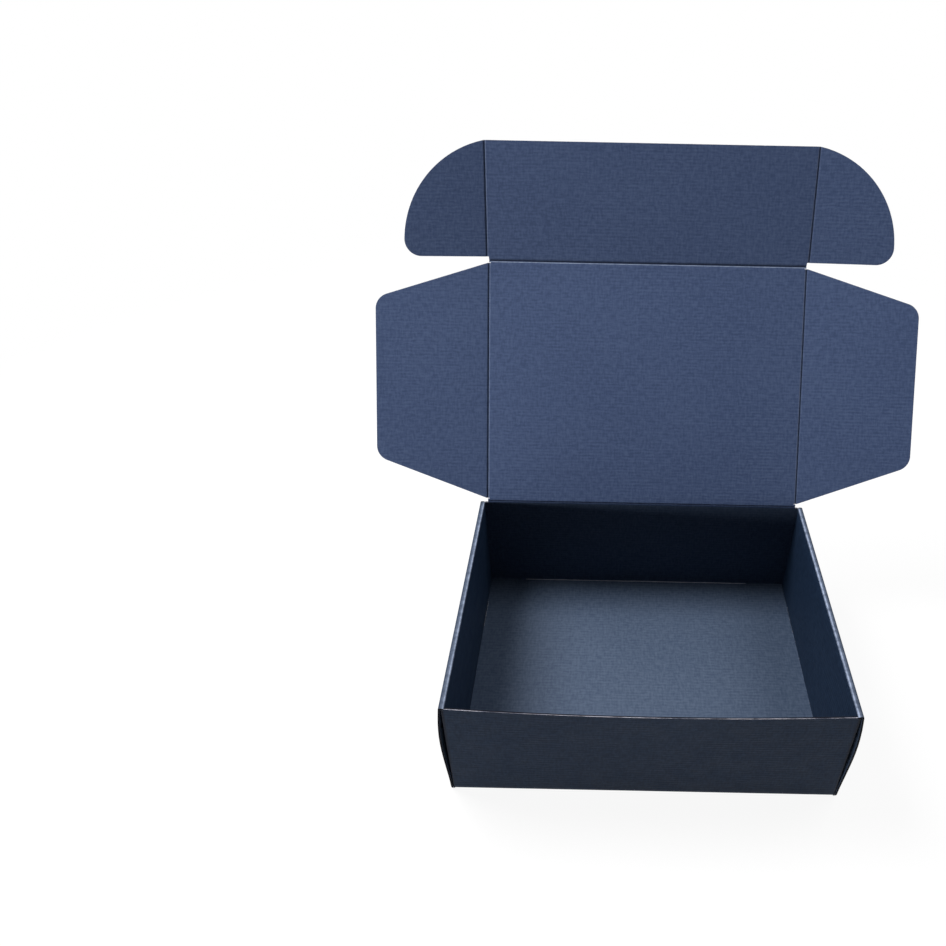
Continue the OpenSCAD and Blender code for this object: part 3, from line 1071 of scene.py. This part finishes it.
def make_ear(name, side, joint_name):
    across = turned_out(side, fold_at_rest(joint_name), TUCK_FACE)
    fold = flat_fold(TUCK + side * EAR_X * X_AXIS, (side * EAR_X, V_TUCK), across, TUCK_UP)
    y, x = between(ear_y, np.full(ear_y.shape, BAND), np.maximum(ear_reach(ear_y), BAND), 8)
    grid = np.stack([side * (EAR_X + x), V_TUCK + y], -1)
    inside, outside = board(name, grid, fold, joined=("first_column",))
    waves = wave_lines(EAR_SETBACK, ear_tip)
    reach = np.stack([np.full(waves.shape, BAND), np.maximum(ear_reach(waves), BAND)])
    wave_grid = np.stack([side * (EAR_X + reach), V_TUCK + np.tile(waves, (2, 1))], -1)
    return inside, outside, make_fluting(name + "_fluting", [(wave_grid, fold)], flute_paper)


left_ear = make_ear("left_ear", -1, "left_ear_crease")
right_ear = make_ear("right_ear", 1, "right_ear_crease")

# %% [markdown]
# The creases that move
#
# At a crease the board is crushed along a line, so it has a groove on the inside, and the
# paper bends there without tearing. In the frame a crease is a hinge between two bodies, so
# each gets a strip 4 mm wide that turns smoothly from one body to the other. The strip's
# shape uses the same smooth step as the blend, so it stays tight at every angle.
#
# The creases of the two lid flaps are made another way, because such a strip came loose there
# with the lid fully open and the flaps flat. They are two stiff halves that meet on the axis.
# The lid's outer liner ends in a round nose with its centre on the axis, hidden in the flap
# when it lies flat, and it keeps the outside closed up to a right angle.

# %% One crease
TURN_ZONE = 1.2
GROOVE_DEPTH = 0.9
GROOVE_SHADE = 0.75
SHOULDER_GAP = 0.45
SHOULDER_W = 0.3
OUTER_RUB = 0.25
STRIP_STEPS = np.linspace(-BAND, BAND, 25)
NOSE_STEPS = HALF_BOARD * np.linspace(0, math.pi / 2, 7)


class Crease:
    """A moving crease: its axis and directions in the box, its line on the sheet, its groove.

    s is the distance past the axis, and t the distance along it. groove gives the groove's
    half width and the strength of the painted highlight on the shoulder beside it.
    """

    def __init__(self, name, parent, child, side, directions, start, groove, angle=None):
        self.name, self.parent, self.child, self.side = name, parent, child, side
        self.out, self.face, self.along = directions
        self.start = start
        self.width, self.shoulder_highlight = groove
        self.axis = crease_point(name)
        self.angle = math.radians(fold_at_rest(name)) if angle is None else angle

    def across(self, u, v):
        """s and t of a point of the sheet."""
        if self.side:
            return self.side * u - self.start[0], v - self.start[1]
        return v - self.start[1], u

    def sheet(self, s, t):
        """The point of the sheet at s and t."""
        if self.side:
            return np.stack([self.side * (self.start[0] + s), self.start[1] + t], -1)
        return np.stack([t, self.start[1] + s], -1)

    def place(self, s, t, turn):
        """The point at s and t on a board turned by that angle, and the board's inner normal."""
        cos, sin = np.cos(turn)[..., None], np.sin(turn)[..., None]
        point = self.axis + t[..., None] * self.along + s[..., None] * (cos * self.out + sin * self.face)
        return point, cos * self.face - sin * self.out

    def soft_fold(self, u, v):
        """Turns smoothly from the parent to the child."""
        s, t = self.across(u, v)
        share = np.clip((s + TURN_ZONE) / (2 * TURN_ZONE), 0, 1)
        return self.place(s, t, share * share * (3 - 2 * share) * self.angle)

    def parent_fold(self, u, v):
        """The stiff half on the parent. Past the axis it rolls up into the nose."""
        s, t = self.across(u, v)
        return self.place(np.minimum(s, 0), t, np.clip(s / HALF_BOARD, 0, math.pi / 2))

    def child_fold(self, u, v):
        """The stiff half on the child."""
        s, t = self.across(u, v)
        return self.place(s, t, np.full(s.shape, self.angle))

    def on_axis(self, u, v):
        """The edges that two stiff halves turn to each other, which are black."""
        return np.abs(self.across(u, v)[0]) < TINY

    def layers(self, title, fold, steps, outer_steps, low, high):
        """The two paper layers of one piece of the crease. Its ends are functions of s."""
        pieces = []
        for face, s in (("inside", steps), ("outside", outer_steps)):
            rows, t = between(s, low(s), high(s), 3)
            groove = np.exp(-((rows / self.width) ** 2))
            if face == "inside":
                shoulder = np.exp(-(((rows + self.width + SHOULDER_GAP) / SHOULDER_W) ** 2))
                # Painted highlight on the shoulder beside the groove, and painted shade in the groove itself
                mask = self.shoulder_highlight * shoulder - GROOVE_SHADE * groove
                span = (LINER - HALF_BOARD, HALF_BOARD - GROOVE_DEPTH * groove, "high", inside_print)
            else:
                mask = OUTER_RUB * groove
                span = (-HALF_BOARD, LINER - HALF_BOARD, "low", outside_print)
            piece = paper_layer(f"{title}_{face}", self.sheet(rows, t), fold, *span,
                                joined=("first_row", "last_row"), fold_mask=mask, inked=self.on_axis)
            pieces.append(piece)
        return pieces

    def strip(self, low, high):
        """Makes the crease as one strip that bends between the two bodies."""
        s = lines(STRIP_STEPS, -TURN_ZONE, TURN_ZONE)
        for piece in self.layers(self.name, self.soft_fold, s, s, low, high):
            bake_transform(piece)
        print(f"{self.name}: {math.degrees(self.angle):.0f} degrees at rest")

    def halves(self, low, high):
        """Makes the crease as two stiff halves that meet on the axis."""
        middle = len(STRIP_STEPS) // 2
        behind, ahead = lines(STRIP_STEPS[:middle + 1]), lines(STRIP_STEPS[middle:])
        plans = (
            (self.parent, self.parent_fold, behind, lines(behind, NOSE_STEPS)),
            (self.child, self.child_fold, ahead, ahead),
        )
        for body, fold, s, outer_s in plans:
            for piece in self.layers(f"{self.name}_{body}", fold, s, outer_s, low, high):
                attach(piece, body)
        print(f"{self.name}: {math.degrees(self.angle):.0f} degrees at rest, in two halves")


# %% Creases of the lid
Z_AXIS = np.array([0.0, 0.0, 1.0])
HINGE_INSET = 0.25
# Half width of each groove, and the strength of the painted highlight on its shoulder
LID_GROOVE = (0.45, 0.0)
TUCK_GROOVE = (0.95, 1.3)
FLAP_GROOVE = (0.75, 0.5)
EAR_GROOVE = (0.75, 0.4)


def level(value):
    """An end that is the same all across the crease."""
    return lambda s: np.full(s.shape, float(value))


hinge_half = FLAP_X - HINGE_INSET
# The lid's crease turns from the upright wall, and not from the flat sheet
lid_crease = Crease(
    "lid_crease", "tray", "lid", 0, (Z_AXIS, np.cross(X_AXIS, Z_AXIS), X_AXIS), (0, V_HINGE),
    LID_GROOVE, angle=-math.atan2(LID_UP[1], LID_UP[2]),
)
lid_crease.strip(level(-hinge_half), level(hinge_half))
tuck_crease = Crease(
    "tuck_flap_crease", "lid", "tuck_flap", 0, (LID_UP, LID_FACE, X_AXIS), (0, V_TUCK), TUCK_GROOVE,
)
tuck_crease.strip(level(-hinge_half), level(hinge_half))
for side, word in ((-1, "left"), (1, "right")):
    flap = Crease(
        f"{word}_lid_flap_crease", "lid", f"{word}_lid_flap", side,
        (side * X_AXIS, LID_FACE, LID_UP), (FLAP_X, V_HINGE), FLAP_GROOVE,
    )
    flap.halves(lambda s: slanted_end(s, SLANT_TO_BACK), lambda s: LID_L - slanted_end(s, SLANT_TO_TUCK))
    ear = Crease(
        f"{word}_ear_crease", "tuck_flap", f"{word}_ear", side,
        (side * X_AXIS, TUCK_FACE, TUCK_UP), (EAR_X, V_TUCK), EAR_GROOVE,
    )
    ear.strip(level(EAR_SETBACK), lambda s: TUCK_H - np.maximum(s, 0) * (TUCK_H - ear_tip) / BAND)

# %% [markdown]
# Which piece moves with what
#
# Each panel rides on the body of the solid that it stands for. The solids stay hidden, and
# keep their work in the motion.

# %% Pieces on their bodies
panels = {
    "tray": (tray_inside, tray_outside, front_wave, side_wave),
    "lid": (lid_inside, lid_outside),
    "tuck_flap": (tuck_inside, tuck_outside, tuck_wave),
    "left_lid_flap": left_flap,
    "right_lid_flap": right_flap,
    "left_ear": left_ear,
    "right_ear": right_ear,
}
for body, pieces in panels.items():
    for piece in pieces:
        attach(piece, body)
    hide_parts(body)
print("panels:", sum(len(pieces) for pieces in panels.values()))

# %% [markdown]
# Floor, background and light
#
# The photograph has a white background and soft light from above, more of it from the left.
# The front wall would be nearly black in that light, because little of it comes back from the
# table, so a low lamp in front, on the left, brings it out. The background is white to the
# camera only, so that it adds no light.

# %% Floor and background
AMBIENT = 0.03


def seen_directly(write):
    """1 for rays from the camera and for mirrored or transmitted ones."""
    path = write.add("ShaderNodeLightPath").outputs
    seen = write.math("MAXIMUM", path["Is Camera Ray"], path["Is Glossy Ray"])
    return write.math("MAXIMUM", seen, path["Is Transmission Ray"])


def make_world():
    world = bpy.data.worlds.new("studio")
    world.use_nodes = True
    write = NodeWriter(world.node_tree)
    background = world.node_tree.nodes["Background"]
    strength = write.remap(seen_directly(write), 0.0, 1.0, AMBIENT, 1.0)
    world.node_tree.links.new(strength, background.inputs["Strength"])
    background.inputs["Color"].default_value = (1, 1, 1, 1)
    bpy.context.scene.world = world


FLOOR_HALF = 20.0
FLOOR_DROP = 0.0003
SHADOW_SHARE = 0.08
SHADOW_NEAR = 0.45
SHADOW_FAR = 1.1


def make_floor():
    material = bpy.data.materials.new("white_table")
    material.use_nodes = True
    tree = material.node_tree
    write = NodeWriter(tree)
    tree.nodes.remove(tree.nodes["Principled BSDF"])
    table = write.add("ShaderNodeBsdfDiffuse", {"Color": (0.75, 0.75, 0.75, 1)}).outputs[0]
    place = write.add("ShaderNodeTexCoord").outputs["Object"]
    away = write.add("ShaderNodeVectorMath", {0: place}, operation="LENGTH").outputs["Value"]
    share = write.remap(away, SHADOW_NEAR, SHADOW_FAR, SHADOW_SHARE, 0.0)
    grey = write.add("ShaderNodeBsdfDiffuse", {"Color": share}).outputs[0]
    glow = write.add("ShaderNodeEmission", {"Strength": write.math("SUBTRACT", 1.0, share)}).outputs[0]
    paper = write.add("ShaderNodeAddShader", {0: grey, 1: glow}).outputs[0]
    mixed = write.add("ShaderNodeMixShader", {0: seen_directly(write), 1: table, 2: paper}).outputs[0]
    tree.links.new(mixed, tree.nodes["Material Output"].inputs["Surface"])
    mesh = bpy.data.meshes.new("table")
    corners = [(-1, -1), (1, -1), (1, 1), (-1, 1)]
    mesh.from_pydata([(x * FLOOR_HALF, y * FLOOR_HALF, -FLOOR_DROP) for x, y in corners], [], [(0, 1, 2, 3)])
    mesh.materials.append(material)
    table_top = bpy.data.objects.new("table", mesh)
    bpy.context.collection.objects.link(table_top)


make_world()
make_floor()
print(f"floor: {2 * FLOOR_HALF:.0f} m wide, ambient light {AMBIENT}")

# %% Lamps
LAMPS = [
    # name, place in metres, width and height in metres, watts
    ("overhead_left", (-0.9, 0.5, 1.5), 0.8, 0.8, 48),
    ("overhead_right", (0.9, 0.5, 1.5), 0.8, 0.8, 14),
    ("low_front", (-2.1, -1.4, 0.12), 1.2, 0.25, 32),
]
LIT_POINT = Vector((0, 0.08, 0.16))


def make_lamp(name, place, width, height, watts):
    lamp = bpy.data.lights.new(name, "AREA")
    lamp.shape = "RECTANGLE"
    lamp.size = width
    lamp.size_y = height
    lamp.energy = watts
    holder = bpy.data.objects.new(name, lamp)
    holder.location = place
    holder.rotation_euler = (LIT_POINT - Vector(place)).to_track_quat("-Z", "Y").to_euler()
    holder.visible_camera = False
    bpy.context.collection.objects.link(holder)


for name, place, width, height, watts in LAMPS:
    make_lamp(name, place, width, height, watts)
bpy.context.scene.view_settings.view_transform = "Standard"
print("lamps:", ", ".join(lamp[0] for lamp in LAMPS))
